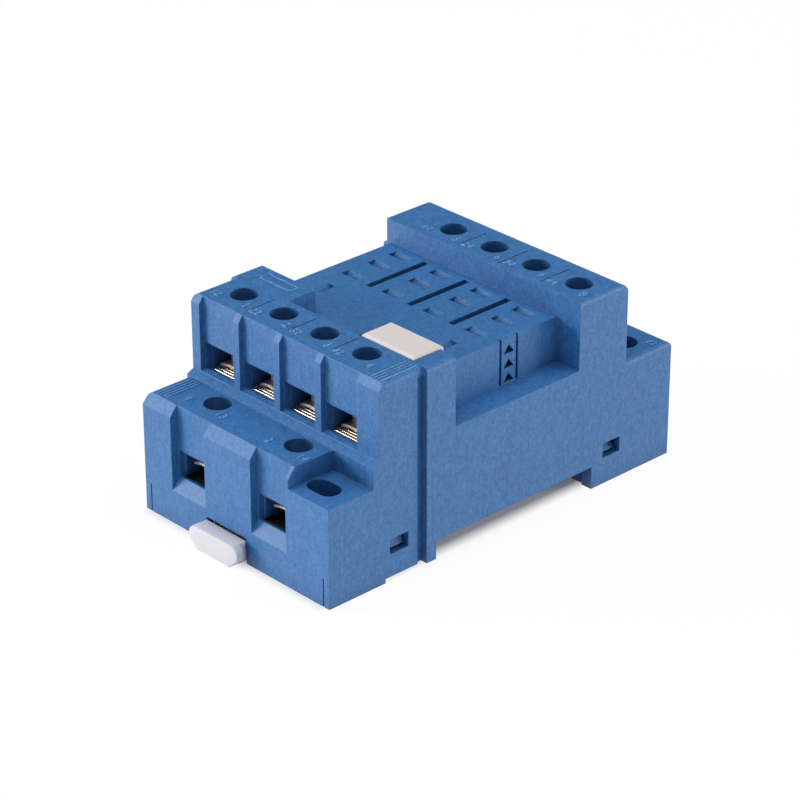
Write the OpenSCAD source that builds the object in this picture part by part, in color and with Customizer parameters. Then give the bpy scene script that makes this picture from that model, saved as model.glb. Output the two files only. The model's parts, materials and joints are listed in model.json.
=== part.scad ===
// Screw terminal socket for a four pole plug-in relay, for a 35 mm rail or a panel.
// Millimetres. X runs across the socket, Y from the coil end to the far end, Z up.
// The origin is in the middle of the base.

/* [Body] */
// Length of the moulding, coil end to far end
body_l = 78; // [76:0.5:96]
// Width of the main body
body_w = 47.6; // [47:0.2:60]
// Height of the two upper tiers
body_h = 36.3; // [36:0.1:46]
// How far the main body stands out beyond the front section on each side
side_step = 0.9; // [0.4:0.1:1.5]
// Distance of that side step from the coil end
step_y = 20.5; // [19.5:0.1:22]
// Thickness of the outer walls
wall = 1.4; // [1.2:0.1:1.8]
// Height of the two lower tiers
low_tier_h = 21.6; // [21:0.1:22.4]
// Height of the panel screw ledge beside the coil terminals
ledge_h = 18.1; // [17:0.1:19]

/* [Relay seat] */
// Height of the seat face
seat_z = 32; // [31:0.1:33]
// Front end of the seat, behind the front blocks
seat_y0 = 26.8; // [26.6:0.1:28]
// Length of the seat
seat_l = 28.5; // [28:0.1:30]
// Width of the relay that the seat takes
relay_w = 40.3; // [38:0.1:41]
// Sideways offset of the relay from the middle of the body
relay_x = -1.6; // [-2:0.1:0]
// Height of the finger recess floor beside the relay
recess_z = 23.7; // [23:0.1:25]
// Thickness of the seat plate
seat_t = 1.8; // [1.4:0.1:2]

/* [Terminals] */
// Spacing of the poles
pitch = 10; // [9.8:0.1:10.6]
// Sideways offset of the coil and far end terminals from the relay poles
stagger = 5; // [4.5:0.1:5.5]
// Height of the clamp floors of the lower tiers
low_floor_z = 8.4; // [8.2:0.1:9]
// Height of the clamp floors of the upper tiers
high_floor_z = 23; // [22.6:0.1:23.6]
// Width of a wire pocket
pocket_w = 8.5; // [8:0.1:8.7]
// Height of a wire window
window_h = 4.9; // [4.5:0.1:5]
// Distance from a pocket's back wall to the screw axis
screw_inset = 5.25; // [5.1:0.05:5.5]
// Diameter of a screwdriver hole
driver_d = 4.9; // [4.8:0.1:5.2]
// Thread diameter of a clamp screw
screw_d = 3; // [2.6:0.1:3.2]
// Head diameter of a clamp screw
head_d = 4.3; // [4:0.1:4.4]
// Distance that a clamp plate travels
clamp_travel = 1.8; // [1.4:0.1:1.8]
// Outer width of a terminal bracket
box_w = 7; // [6.6:0.1:7.1]
// Thickness of the terminal strip
strip_t = 0.7; // [0.6:0.05:0.8]

/* [Rail] */
// Width of the rail channel
rail_w = 36.4; // [35.6:0.1:36.6]
// Front end of the rail channel
rail_y0 = 22.6; // [22.4:0.1:23.4]
// Depth of the rail channel
rail_depth = 4.2; // [4:0.1:4.4]
// Width of the rail clip's bar
clip_w = 9.4; // [9:0.1:9.6]
// How far the rail clip's tab stands out
tab_l = 3; // [2.5:0.1:3.5]
// Distance that the rail clip travels
clip_travel = 2.5; // [2:0.1:2.6]

/* [Clearances] */
// Gap between a sliding or seated piece and what guides it
slide_gap = 0.25; // [0.2:0.05:0.3]
// Radial gap of a screw in its threaded hole
thread_gap = 0.05; // [0.03:0.01:0.08]
// Gap between pieces that are pressed together face to face
seat_gap = 0.05; // [0.03:0.01:0.1]

/* [Hidden] */
$fn = 48;
eps = 0.01;

front_w = body_w - 2 * side_step;
centre_y = (body_l - tab_l) / 2;

// Tier geometry along Y, as distances from the coil end
coil_wall_y = 1.55;
front_wall_y = 11.95;
rib_proud = 0.95;
rear_high_wall_y = body_l - 12.25;
rear_low_wall_y = body_l - rib_proud;
back_tier_y = seat_y0 + seat_l;
block_front_y = 20.9;
block_left_x = -9.7;
block_right_x = 7.6;
edge_r = 1;
rear_edge_r = 1.8;
band_y = 9.65;
band_z = high_floor_z - 1.1;
ledge_x = pitch + 3.4;
panel_slot_x = ledge_x + 3.5;
panel_slot_y = 4.6;
panel_slot_w = 4.1;
panel_slot_l = 6.4;
foot_lift = 0.8;
foot_lift_y = 12.2;

// Relay seat
seat_right = relay_x + relay_w / 2;
seat_left = relay_x - relay_w / 2;
rail_y1 = rail_y0 + rail_w;

// Poles
pole_x0 = relay_x - 1.5 * pitch;
row_y = [seat_y0 + 14.3, seat_y0 + 20.4, seat_y0 + 25.3];
coil_slot_x = 14.85;
coil_slot_mid = relay_x + 0.65;
coil_slot_y = seat_y0 + 7.6;
slot_l = 3.9;
slot_w = 1.1;
vent_l = 13.7;
vent_w = 1.3;
vent_y = seat_y0 + 13.6;

// Terminal names and places: [name, x, y of the screw axis, floor height, outward sign, open at rest]
front_x = [for (i = [0:3]) pole_x0 + pitch * i];
stagger_x = [for (x = front_x) x + stagger];
coil_axis_y = coil_wall_y + screw_inset;
front_axis_y = front_wall_y + screw_inset;
rear_high_axis_y = rear_high_wall_y - screw_inset;
rear_low_axis_y = rear_low_wall_y - screw_inset;
COIL = [for (i = [0:1]) [str("coil_", i + 1), stagger_x[2 * i], coil_axis_y, low_floor_z, -1, 1]];
FRONT = [for (i = [0:3]) [str("front_", i + 1), front_x[i], front_axis_y, high_floor_z, -1, 0]];
HIGH = [for (i = [0:3]) [str("rear_upper_", i + 1), stagger_x[i], rear_high_axis_y, high_floor_z, 1, 0]];
LOW = [for (i = [0:3]) [str("rear_lower_", i + 1), stagger_x[i], rear_low_axis_y, low_floor_z, 1, 0]];
TERMINALS = concat(COIL, FRONT, HIGH, LOW);

// Terminal bracket, measured from the screw axis (positive is outward) and from the clamp floor
floor_t = 1.1;
box_out = 2.4;
box_in = -2.9;
tongue_out = 4.6;
nut_z = 5;
nut_t = 1.8;
box_top = nut_z + nut_t;
ridge_pitch = 0.7;
ridge_h = 0.3;
window_wall = 1.2;
chamber_out = screw_inset - window_wall;
chamber_in = box_in - slide_gap;
chamber_top = box_top + 0.4;
plate_w = 5.4;
plate_t = 0.5;
plate_rise = 0.5;
plate_z = 0.25;
plate_out = 3.25;
plate_in = box_in + strip_t + slide_gap;
collar_w = 3.4;
collar_top = nut_z - clamp_travel - 0.2;
pin_r = 1.1;
pin_z = 1.5;
collar_gap = 0.1;
pin_h = collar_top + collar_gap - pin_z;
head_t = 1.6;
head_gap = 0.2;
head_r = head_d / 2;
drive_w = 0.75;
drive_depth = 1.2;

// Contact springs under the relay slots
leaf_w = 3.2;
leaf_gap = 0.8;
leaf_top = seat_z - seat_t - 0.4;
leaf_bottom = high_floor_z - floor_t;
tail_w = 2;
tail_shift = -2;

// Base cover
skirt = wall + slide_gap;
cover_t = 1.5;
cover_top = rail_depth + cover_t;
hook_y = [15.2, body_l - 14.3];
hook_l = 3.6;
hook_z = 6.35;
hook_h = 2.3;
hook_out = 1;
post_w = 5;
post_d = 1.8;

// Rail clip and its guides
clip_x = relay_x - 0.55;
clip_z0 = 0.5;
clip_z1 = rail_depth - 1.1;
clip_end_y = rail_y0 + 1.4;
tab_w = 12.1;
tab_h = 4.3;
guide_t = 1.2;
nose = 0.7;
nose_l = 1.5;
nose_y = 14;
arm_w = 1.3;
arm_l = 7;

// Marker tag on the right block
tag_l = 12.2;
tag_w = 6.6;
tag_t = 1.3;
tag_proud = 0.35;
tag_x = block_right_x + 0.3;
tag_y = block_front_y + 0.1;

// Puts a piece drawn from the coil end into the socket's own frame.
module placed() {
    translate([0, -centre_y, 0]) children();
}

// Puts a piece drawn about a screw axis, with +Y outward, at terminal t.
module at_terminal(t) {
    translate([t[1], t[2], t[3]]) mirror([0, t[4] < 0 ? 1 : 0, 0]) children();
}

// A box given by its low and high corners.
module block(low, high) {
    translate(low) cube(high - low);
}

// Extrudes a drawing of the Y-Z plane across X, from x0 to x1.
module across(x0, x1) {
    translate([x0, 0, 0]) rotate([90, 0, 90]) linear_extrude(x1 - x0) children();
}

// Extrudes a drawing of the X-Z plane along Y, from y0 to y1.
module along(y0, y1) {
    translate([0, y1, 0]) rotate([90, 0, 0]) linear_extrude(y1 - y0) children();
}

// Rectangle from [u0, v0] to [u1, v1] whose two upper corners are rounded.
module round_top(u0, u1, v0, v1, r0, r1) {
    difference() {
        translate([u0, v0]) square([u1 - u0, v1 - v0]);
        if (r0 > 0) translate([u0 - eps, v1 - r0]) square([r0 + eps, r0 + eps]);
        if (r1 > 0) translate([u1 - r1, v1 - r1]) square([r1 + eps, r1 + eps]);
    }
    if (r0 > 0) translate([u0 + r0, v1 - r0]) circle(r0);
    if (r1 > 0) translate([u1 - r1, v1 - r1]) circle(r1);
}

// One stretch of the body: a side drawing rounded across its width.
module stretch(w, y0, y1, z1, r0 = 0, r1 = 0) {
    intersection() {
        across(-w / 2, w / 2) round_top(y0, y1, 0, z1, r0, r1);
        along(y0, y1) round_top(-w / 2, w / 2, 0, z1, edge_r, edge_r);
    }
}

// Outer form of the moulding, before anything is cut from it.
module housing_form() {
    rear_high_y = rear_high_wall_y + rib_proud;
    stretch(front_w, 0, step_y, low_tier_h);
    stretch(front_w, front_wall_y - rib_proud, step_y, body_h);
    across(-front_w / 2, front_w / 2)
        polygon([[band_y, 0], [step_y, 0], [step_y, band_z + 0.7],
                 [front_wall_y - rib_proud, band_z + 0.7], [band_y, band_z]]);
    stretch(body_w, step_y - eps, back_tier_y + eps, seat_z);
    stretch(body_w, step_y - eps, seat_y0, body_h);
    difference() {
        stretch(body_w, back_tier_y, rear_high_y, body_h, 0, rear_edge_r);
        block([-body_w, back_tier_y - 1, low_tier_h], [-front_w / 2, body_l, body_h + 1]);
    }
    stretch(body_w, back_tier_y, body_l, low_tier_h, 0, edge_r);
}

// Finger recesses beside the relay, and the gap between the two front blocks.
module seat_cuts() {
    big = body_w;
    block([seat_right, seat_y0, recess_z], [big, back_tier_y, body_h + 1]);
    block([-big, seat_y0, recess_z], [seat_left, back_tier_y, body_h + 1]);
    block([block_left_x, block_front_y, seat_z], [block_right_x, seat_y0 + eps, body_h + 1]);
}

// Ledge for the panel screw, with its oblong hole.
module ledge_cuts() {
    half = (panel_slot_l - panel_slot_w) / 2;
    block([ledge_x, -1, ledge_h], [body_w, band_y, body_h]);
    translate([panel_slot_x, panel_slot_y, -1]) {
        for (s = [-1, 1])
            translate([s * half, 0, 0]) cylinder(d = panel_slot_w, h = body_h);
        block([-half, -panel_slot_w / 2, 0], [half, panel_slot_w / 2, body_h]);
    }
}

// Sloped top of the ribs of a tier: out is the distance from the pocket wall to the ribs' faces.
module rib_chamfer(wall_y, top, out, drop) {
    across(-body_w, body_w)
        polygon([[wall_y, top + 1], [wall_y, top], [wall_y - out, top - drop],
                 [wall_y - out - 1, top - drop], [wall_y - out - 1, top + 1]]);
}

// Pocket, window, clamp chamber and driver hole of one terminal, in the terminal's own frame.
module terminal_cut(rib_out, pocket_top, sill_drop, shaft_z, hole_top) {
    face = screw_inset;
    across(-pocket_w / 2, pocket_w / 2)
        polygon([[face, 0], [face + rib_out + 1, -sill_drop * (rib_out + 1) / rib_out],
                 [face + rib_out + 1, pocket_top], [face, pocket_top]]);
    block([-pocket_w / 2 + 0.1, chamber_out - eps, 0], [pocket_w / 2 - 0.1, face + 1, window_h]);
    block([-box_w / 2 - slide_gap, chamber_in, shaft_z], [box_w / 2 + slide_gap, chamber_out, chamber_top]);
    block([-box_w / 2 - slide_gap, chamber_in, shaft_z],
          [box_w / 2 + slide_gap, tongue_out + 0.15, eps]);
    translate([0, 0, chamber_top - eps]) cylinder(d = driver_d, h = hole_top - chamber_top + 1);
}

// Everything that the fourteen terminals cut from the housing.
module all_terminal_cuts() {
    high_shaft = 19.9 - high_floor_z;
    low_shaft = cover_top - low_floor_z;
    for (t = COIL)
        at_terminal(t) terminal_cut(coil_wall_y, body_h, 2.2, low_shaft, low_tier_h - low_floor_z);
    for (t = FRONT)
        at_terminal(t) terminal_cut(rib_proud, body_h, 0.3, high_shaft, body_h - high_floor_z);
    for (t = HIGH)
        at_terminal(t) terminal_cut(rib_proud, 11, 0.3, high_shaft, body_h - high_floor_z);
    for (t = LOW)
        at_terminal(t) terminal_cut(rib_proud, 11, 0.3, low_shaft, low_tier_h - low_floor_z);
}

// Hollow inside, open to the base cover.
module inner_cavity() {
    in_x = body_w / 2 - wall;
    front_in_x = front_w / 2 - wall;
    low_top = 19.9;
    block([-front_in_x, coil_axis_y - chamber_in - eps, cover_top], [front_in_x, step_y + 1, low_top - 3]);
    block([-front_in_x, front_axis_y - chamber_out, cover_top], [front_in_x, step_y + 1, low_top]);
    block([-in_x, step_y + 1 - eps, cover_top], [in_x, back_tier_y + 1, recess_z - seat_t]);
    block([-in_x, back_tier_y, cover_top],
          [in_x, rear_low_axis_y + chamber_in + eps, low_top]);
    block([seat_left + wall, front_axis_y - chamber_in + 0.8, recess_z - seat_t - 1],
          [seat_right - wall, rear_high_axis_y + chamber_in - 0.8, seat_z - seat_t]);
    for (x = front_x)
        block([x + tail_shift - tail_w / 2 - slide_gap, front_axis_y, leaf_bottom - slide_gap],
              [x + tail_shift + tail_w / 2 + slide_gap, row_y[0], leaf_bottom + strip_t + slide_gap]);
    for (x = stagger_x)
        block([x - tail_w / 2 - slide_gap, row_y[2], leaf_bottom - slide_gap],
              [x + tail_w / 2 + slide_gap, rear_high_axis_y, leaf_bottom + strip_t + slide_gap]);
}

// Space under the base cover, the rail channel and the foot's lifted edge.
module base_cuts() {
    in_x = front_w / 2 - wall;
    block([-in_x, wall, -1], [in_x, step_y + 1, cover_top + eps]);
    block([-in_x, step_y, -1], [in_x, body_l - wall, cover_top + eps]);
    block([-body_w, rail_y0, -1], [body_w, rail_y1, rail_depth]);
    block([-body_w, foot_lift_y, -1], [body_w, rail_y0 + eps, foot_lift]);
    block([clip_x - clip_w / 2 - slide_gap, -1, -1],
          [clip_x + clip_w / 2 + slide_gap, wall + 1, tab_h + 0.4]);
    for (s = [-1, 1], y = hook_y)
        block([s * body_w / 2 - 3, y - hook_l / 2 - slide_gap, hook_z - hook_h / 2 - slide_gap],
              [s * body_w / 2 + 3, y + hook_l / 2 + slide_gap, hook_z + hook_h / 2 + slide_gap]);
    for (x = [-front_w / 2 + 1.3, front_w / 2 - 1.5])
        block([x, -1, -1], [x + 0.25, wall + eps, 5.2]);
}

// One blade slot of the relay seat: a narrow slot with one flared side.
module blade_slot() {
    block([-slot_l / 2, -slot_w / 2, -seat_t - 1], [slot_l / 2, slot_w / 2, 1]);
    across(-slot_l / 2, slot_l / 2)
        polygon([[slot_w / 2 - eps, 1], [slot_w / 2 - eps, -0.8], [slot_w / 2 + 0.8, 0], [slot_w / 2 + 0.8, 1]]);
}

// Slots of the relay seat: twelve contacts, two coil blades and three vents between the poles.
module seat_slots() {
    for (x = front_x, y = row_y)
        translate([x, y, seat_z]) blade_slot();
    for (s = [-1, 1])
        translate([coil_slot_mid + s * coil_slot_x, coil_slot_y, seat_z]) rotate([0, 0, 90]) blade_slot();
    for (i = [0:2])
        block([stagger_x[i] - vent_w / 2, vent_y, seat_z - seat_t - 1],
              [stagger_x[i] + vent_w / 2, vent_y + vent_l, seat_z + 1]);
}

// Two grooves and three pointed windows in the wall of the right finger recess.
module recess_marks() {
    groove = 0.5;
    tri_w = 2.4;
    tri_h = 1.6;
    tri_pitch = 2.6;
    mid_y = (seat_y0 + back_tier_y) / 2 + 2.9;
    for (y = [mid_y - 1.9, mid_y + 1.9])
        block([seat_right - groove, y - groove / 2, recess_z], [seat_right + 1, y + groove / 2, seat_z + 1]);
    for (i = [0:2])
        across(seat_right - wall - 1, seat_right + 1)
            translate([mid_y, recess_z + 0.2 + tri_pitch * i])
                polygon([[-tri_w / 2, 0], [tri_w / 2, 0], [0, tri_h]]);
}

// Shallow dividing lines on top of the tiers, and the marker tag's seat.
module top_marks() {
    line_w = 0.25;
    line_d = 0.2;
    for (i = [0:2]) {
        x_front = front_x[i] + pitch / 2;
        x_rear = stagger_x[i] + pitch / 2;
        block([x_front - line_w / 2, front_wall_y + 2.5, body_h - line_d],
              [x_front + line_w / 2, block_front_y - 1, body_h + 1]);
        block([x_rear - line_w / 2, back_tier_y + 1, body_h - line_d],
              [x_rear + line_w / 2, rear_high_wall_y - 2.2, body_h + 1]);
    }
    block([tag_x - slide_gap, tag_y - slide_gap, body_h + tag_proud - tag_t - seat_gap],
          [tag_x + tag_l + slide_gap, seat_y0 + 1, body_h + 1]);
}

// Narrow groove that runs down both sides in front of the side step.
module side_grooves() {
    groove_d = 0.5;
    groove_l = 1.2;
    for (s = [-1, 1])
        block([s * front_w / 2 - groove_d, step_y - groove_l, -1],
              [s * front_w / 2 + groove_d, step_y, body_h - 1.5]);
}

module housing() {
    color("steelblue") placed() difference() {
        housing_form();
        seat_cuts();
        ledge_cuts();
        rib_chamfer(front_wall_y, body_h, rib_proud, 1.3);
        rib_chamfer(coil_wall_y, low_tier_h, coil_wall_y, 1.9);
        all_terminal_cuts();
        inner_cavity();
        base_cuts();
        seat_slots();
        recess_marks();
        top_marks();
        side_grooves();
    }
}

// Snap-in floor with the clip's guides, the fixed rail hook and the posts under the terminals.
module base_cover() {
    half_w = front_w / 2 - skirt;
    guide_x = clip_w / 2 + slide_gap;
    slot_len = nose_l + clip_travel + 2 * slide_gap;
    color("steelblue") placed() {
        difference() {
            block([-half_w, skirt, rail_depth], [half_w, body_l - skirt, cover_top]);
            translate([panel_slot_x, panel_slot_y, -1]) cylinder(d = panel_slot_l + 0.8, h = 20);
        }
        // front and far end cross walls of the rail channel
        for (s = [-1, 1])
            block([min(clip_x + s * guide_x, s * half_w), rail_y0 - guide_t, foot_lift],
                  [max(clip_x + s * guide_x, s * half_w), rail_y0, rail_depth + eps]);
        block([-half_w, rail_y1, 0.3], [half_w, rail_y1 + guide_t, rail_depth + eps]);
        // fixed hook under the far edge of the rail
        across(-9, 9) polygon([[rail_y1 + eps, 0.9], [rail_y1 + eps, clip_z1], [rail_y1 - 1.3, clip_z1],
                               [rail_y1 - 1.3, clip_z1 - 0.6]]);
        // guides of the rail clip, with a window for its stop noses
        for (s = [-1, 1])
            difference() {
                block([clip_x + s * (guide_x + guide_t / 2) - guide_t / 2, skirt + 1, foot_lift],
                      [clip_x + s * (guide_x + guide_t / 2) + guide_t / 2, rail_y0, rail_depth + eps]);
                block([clip_x + s * guide_x - 2, nose_y - slot_len + nose_l / 2 + slide_gap, -1],
                      [clip_x + s * guide_x + 2, nose_y + nose_l / 2 + slide_gap, clip_z1 + slide_gap]);
            }
        // side hooks in the housing's windows
        for (s = [-1, 1], i = [0, 1]) {
            reach = (i == 0 ? front_w : body_w) / 2 - hook_out;
            mirror([s < 0 ? 1 : 0, 0, 0]) along(hook_y[i] - hook_l / 2, hook_y[i] + hook_l / 2)
                polygon([[half_w - 1.2, cover_top - eps], [half_w, cover_top - eps],
                         [reach, hook_z - hook_h / 2 + 0.2],
                         [half_w, hook_z + hook_h / 2], [half_w - 1.2, hook_z + hook_h / 2]]);
        }
        // posts that hold the terminal brackets up
        for (t = TERMINALS)
            at_terminal(t) difference() {
                block([-post_w / 2, 0, cover_top - t[3] - eps], [post_w / 2, post_d, -floor_t - seat_gap]);
                block([-tail_w / 2 - slide_gap, -1, cover_top - t[3]],
                      [tail_w / 2 + slide_gap, post_d + 1, low_floor_z + slide_gap - t[3]]);
            }
    }
}

module rail_clip() {
    half = clip_w / 2;
    tab_r = 1.6;
    color("white") placed() translate([clip_x, 0, 0]) {
        difference() {
            block([-half, -tab_l / 2, clip_z0], [half, clip_end_y, clip_z1]);
            // lead-in under the rail edge
            across(-half - 1, half + 1)
                polygon([[clip_end_y - 1.6, clip_z0 - 1], [clip_end_y + 1, clip_z0 - 1],
                         [clip_end_y + 1, clip_z1 - 0.8]]);
            // side arms that carry the stop noses
            for (s = [-1, 1])
                block([s * (half - arm_w - 0.35) - 0.35, nose_y - arm_l, -1],
                      [s * (half - arm_w - 0.35) + 0.35, nose_y + 2, 10]);
            block([-half + arm_w + 1.9, nose_y - arm_l, -1], [half - arm_w - 1.9, nose_y + 4, 10]);
        }
        for (s = [-1, 1])
            block([s * half - nose, nose_y - nose_l / 2, clip_z0],
                  [s * half + nose, nose_y + nose_l / 2, clip_z1]);
        // finger tab
        along(-tab_l, -seat_gap) {
            translate([-tab_w / 2 + tab_r, tab_h - tab_r]) circle(tab_r);
            translate([tab_w / 2 - tab_r, tab_h - tab_r]) circle(tab_r);
            translate([-tab_w / 2 + tab_r, tab_h - 2 * tab_r]) square([tab_w - 2 * tab_r, 2 * tab_r]);
            polygon([[-tab_w / 2, tab_h - tab_r], [-tab_w / 2, 2.1], [-tab_w / 2 + 1.9, 0.2],
                     [tab_w / 2 - 1.9, 0.2], [tab_w / 2, 2.1], [tab_w / 2, tab_h - tab_r]]);
        }
    }
}

// Plain write-on tag with bevelled edges.
module marker_tag() {
    bevel = 0.4;
    z0 = body_h + tag_proud - tag_t;
    color("white") placed() intersection() {
        along(tag_y, tag_y + tag_w)
            polygon([[tag_x, z0], [tag_x + tag_l, z0], [tag_x + tag_l, z0 + tag_t - bevel],
                     [tag_x + tag_l - bevel, z0 + tag_t], [tag_x + bevel, z0 + tag_t],
                     [tag_x, z0 + tag_t - bevel]]);
        across(tag_x, tag_x + tag_l)
            polygon([[tag_y, z0], [tag_y + tag_w, z0], [tag_y + tag_w, z0 + tag_t - bevel],
                     [tag_y + tag_w - bevel, z0 + tag_t], [tag_y + bevel, z0 + tag_t],
                     [tag_y, z0 + tag_t - bevel]]);
    }
}

// Bent terminal bracket: ridged floor with a tongue, a back and a threaded top.
module terminal_bracket() {
    ridges = floor((tongue_out - box_in) / ridge_pitch);
    across(-box_w / 2, box_w / 2)
        polygon(concat([[box_in, -floor_t], [tongue_out, -floor_t]],
            [for (i = [0:ridges - 1], k = [0, 1])
                [tongue_out - ridge_pitch * (i + k * 0.5), k == 0 ? -ridge_h : 0]],
            [[box_in, 0]]));
    block([-box_w / 2, box_in, -floor_t], [box_w / 2, box_in + strip_t, box_top]);
    difference() {
        block([-box_w / 2, box_in, nut_z], [box_w / 2, box_out, box_top]);
        translate([0, 0, nut_z - 1]) cylinder(r = screw_d / 2 + thread_gap, h = nut_t + 2);
    }
}

// Two spring leaves that grip a relay blade, with a riser down to height low.
module blade_spring(low) {
    for (s = [-1, 1])
        block([-leaf_w / 2, s * (leaf_gap + strip_t) / 2 - strip_t / 2, leaf_bottom],
              [leaf_w / 2, s * (leaf_gap + strip_t) / 2 + strip_t / 2, leaf_top]);
    block([-leaf_w / 2, -leaf_gap / 2 - strip_t, leaf_bottom],
          [leaf_w / 2, leaf_gap / 2 + strip_t, leaf_bottom + strip_t]);
    if (low < leaf_bottom)
        block([-leaf_w / 2, -leaf_gap / 2 - strip_t, low], [leaf_w / 2, -leaf_gap / 2, leaf_bottom + eps]);
}

// Flat tail from a terminal bracket at from to the spring at to, with its sideways jog at jog_y.
module tail(from, to, z, jog_y) {
    block([from[0] - tail_w / 2, min(from[1], jog_y - tail_w / 2), z],
          [from[0] + tail_w / 2, max(from[1], jog_y + tail_w / 2), z + strip_t]);
    block([min(from[0], to[0]) - tail_w / 2, jog_y - tail_w / 2, z],
          [max(from[0], to[0]) + tail_w / 2, jog_y + tail_w / 2, z + strip_t]);
    block([to[0] - tail_w / 2, min(to[1], jog_y - tail_w / 2), z],
          [to[0] + tail_w / 2, max(to[1], jog_y + tail_w / 2), z + strip_t]);
}

// Bracket, tail and blade spring of terminal number i of a group.
module terminal(group, i) {
    t = TERMINALS[group + i];
    low = t[3] - floor_t;
    row = group == 2 ? row_y[0] : group == 6 ? row_y[2] : row_y[1];
    color("silver") placed() {
        at_terminal(t) terminal_bracket();
        if (group == 0) {
            x = coil_slot_mid + (2 * i - 1) * coil_slot_x;
            translate([x, coil_slot_y, 0]) rotate([0, 0, 90]) blade_spring(low);
            tail([t[1], t[2] - box_in - strip_t], [x, coil_slot_y], low, coil_slot_y - 8);
        } else {
            x = front_x[i];
            back = t[2] + t[4] * (box_in + strip_t);
            start = t[1] + (group == 2 ? tail_shift : 0);
            translate([x, row, 0]) blade_spring(low);
            tail([start, back], [x, row - (leaf_gap + strip_t) / 2], low,
                 group == 2 ? row : group == 6 ? row + 2.8 : row + 4);
        }
    }
}

// Arched clamp plate with the collar that holds the screw's tip.
module clamp_plate(t) {
    arch_r = (pow(plate_w / 2, 2) + pow(plate_rise, 2)) / (2 * plate_rise);
    color("goldenrod") placed() at_terminal(t) translate([0, 0, t[5] * clamp_travel]) difference() {
        union() {
            intersection() {
                translate([0, plate_in, plate_z + plate_rise + plate_t - arch_r]) rotate([-90, 0, 0])
                    cylinder(r = arch_r, h = plate_out - plate_in, $fn = 96);
                block([-plate_w / 2, plate_in, plate_z], [plate_w / 2, plate_out, nut_z]);
            }
            block([-collar_w / 2, -collar_w / 2, plate_z + plate_rise], [collar_w / 2, collar_w / 2, collar_top]);
        }
        translate([0, plate_in - 1, plate_z + plate_rise - arch_r]) rotate([-90, 0, 0])
            cylinder(r = arch_r, h = plate_out - plate_in + 2, $fn = 96);
        translate([0, 0, pin_z - seat_gap]) cylinder(r = pin_r + slide_gap / 2, h = 5);
    }
}

// Clamp screw: tip pin, thread and a head with a cross and slot drive.
module clamp_screw(t) {
    shank_z = pin_z + pin_h;
    head_z = box_top + head_gap;
    color("silver") placed() at_terminal(t) translate([0, 0, t[5] * clamp_travel]) difference() {
        union() {
            translate([0, 0, pin_z]) cylinder(r = pin_r, h = pin_h + eps);
            translate([0, 0, shank_z]) cylinder(d = screw_d, h = head_z - shank_z + eps);
            translate([0, 0, head_z]) cylinder(r = head_r, h = head_t);
        }
        block([-head_r - 1, -drive_w / 2, head_z + head_t - drive_depth], [head_r + 1, drive_w / 2, head_z + head_t + 1]);
        block([-drive_w / 2, -head_r * 0.62, head_z + head_t - drive_depth],
              [drive_w / 2, head_r * 0.62, head_z + head_t + 1]);
    }
}

housing();
base_cover();
rail_clip();
marker_tag();
for (g = [[0, 2], [2, 4], [6, 4], [10, 4]], i = [0:g[1] - 1])
    terminal(g[0], i);
for (t = TERMINALS)
    clamp_plate(t);
for (t = TERMINALS)
    clamp_screw(t);
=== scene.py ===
"""Looks of the screw terminal relay socket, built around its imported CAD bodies.

Every length is in metres and every place is in the socket's own frame: X across the socket, Y from the
coil end to the far end, Z up out of the relay seat.
"""

import json
import logging
import math
from dataclasses import dataclass, field
from enum import Enum
from typing import Any, Dict, Optional, Sequence, Tuple

import bmesh
import bpy
from mathutils import Matrix, Vector


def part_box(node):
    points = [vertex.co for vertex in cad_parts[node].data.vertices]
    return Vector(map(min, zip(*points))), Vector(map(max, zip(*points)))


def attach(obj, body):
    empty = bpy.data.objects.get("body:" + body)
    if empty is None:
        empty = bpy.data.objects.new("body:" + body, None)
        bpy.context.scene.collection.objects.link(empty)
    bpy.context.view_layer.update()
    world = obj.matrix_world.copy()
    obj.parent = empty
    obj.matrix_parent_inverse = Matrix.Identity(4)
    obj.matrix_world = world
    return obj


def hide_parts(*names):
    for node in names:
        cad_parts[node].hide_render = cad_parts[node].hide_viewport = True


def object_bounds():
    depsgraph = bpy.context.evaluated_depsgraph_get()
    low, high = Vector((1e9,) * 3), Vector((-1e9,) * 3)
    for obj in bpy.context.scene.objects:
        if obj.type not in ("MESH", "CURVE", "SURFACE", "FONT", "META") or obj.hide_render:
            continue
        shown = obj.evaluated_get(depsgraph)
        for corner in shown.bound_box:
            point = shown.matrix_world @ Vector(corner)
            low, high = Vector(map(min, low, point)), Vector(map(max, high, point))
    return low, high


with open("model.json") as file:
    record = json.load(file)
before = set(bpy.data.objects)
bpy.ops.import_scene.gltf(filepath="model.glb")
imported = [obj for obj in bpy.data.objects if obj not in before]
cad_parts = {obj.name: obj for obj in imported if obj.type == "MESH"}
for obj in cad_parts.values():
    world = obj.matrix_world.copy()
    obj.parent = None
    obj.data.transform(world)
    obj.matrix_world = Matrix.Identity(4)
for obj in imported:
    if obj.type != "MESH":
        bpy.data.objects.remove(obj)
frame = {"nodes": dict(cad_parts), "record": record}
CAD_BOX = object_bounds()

LOG = logging.getLogger("relay_socket")
MM = 0.001
Vec2 = Tuple[float, float]
Vec3 = Tuple[float, float, float]
Socket = bpy.types.NodeSocket
# a noise texture's values lie mostly between these two
NOISE_RANGE: Vec2 = (0.3, 0.7)
# rays that a Bevel or Ambient Occlusion node draws at each place
SHADER_RAYS = 4


def linear(hex_colour: str) -> Tuple[float, float, float, float]:
    """Turns an sRGB hex colour into the linear values that a shader takes.

    Args:
        hex_colour: six hex digits, such as "2E6DAF".

    Returns:
        The linear red, green and blue, and a full fourth channel.
    """
    parts = [int(hex_colour[i:i + 2], 16) / 255.0 for i in (0, 2, 4)]
    red, green, blue = [p / 12.92 if p <= 0.04045 else ((p + 0.055) / 1.055) ** 2.4 for p in parts]
    return red, green, blue, 1.0


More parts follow.
